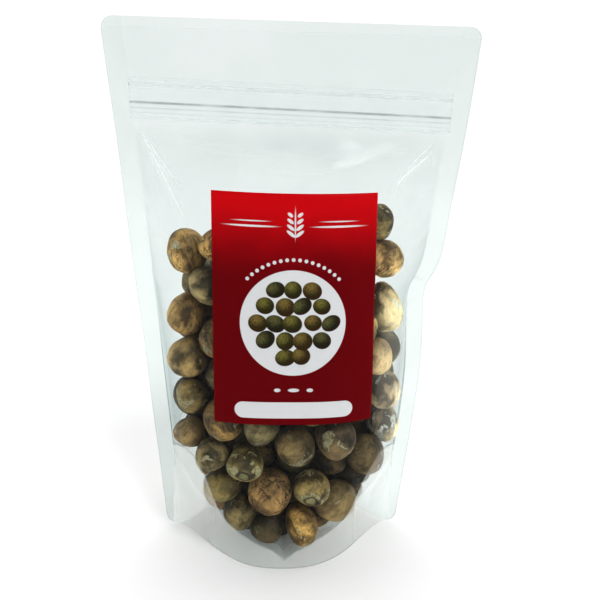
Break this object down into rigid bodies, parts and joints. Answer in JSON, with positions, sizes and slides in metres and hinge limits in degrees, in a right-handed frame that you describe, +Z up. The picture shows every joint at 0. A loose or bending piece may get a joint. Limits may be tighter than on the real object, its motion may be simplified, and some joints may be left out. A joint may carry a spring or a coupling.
{
  "type": "clear stand-up pouch of whole betel nuts",
  "caption": "Clear zip-top stand-up pouch filled with whole dried betel nuts, with a plain red label on its front, standing on its oval base.",
  "frame": {"origin": "on the surface the pouch stands on, under the middle of its bounding box", "axes": "+Z up, -Y out of the labelled front, +X to the right seen from the front"},
  "size_m": [0.1592, 0.0788, 0.2574],
  "materials": {
    "film": "clear glossy film",
    "label": "satin printed sticker",
    "nuts": "dry, matt to satin",
    "zip": "milky clear profile"
  },
  "bodies": {
    "root": {"pouch": "film", "label": "label"}
  },
  "joints": []
}
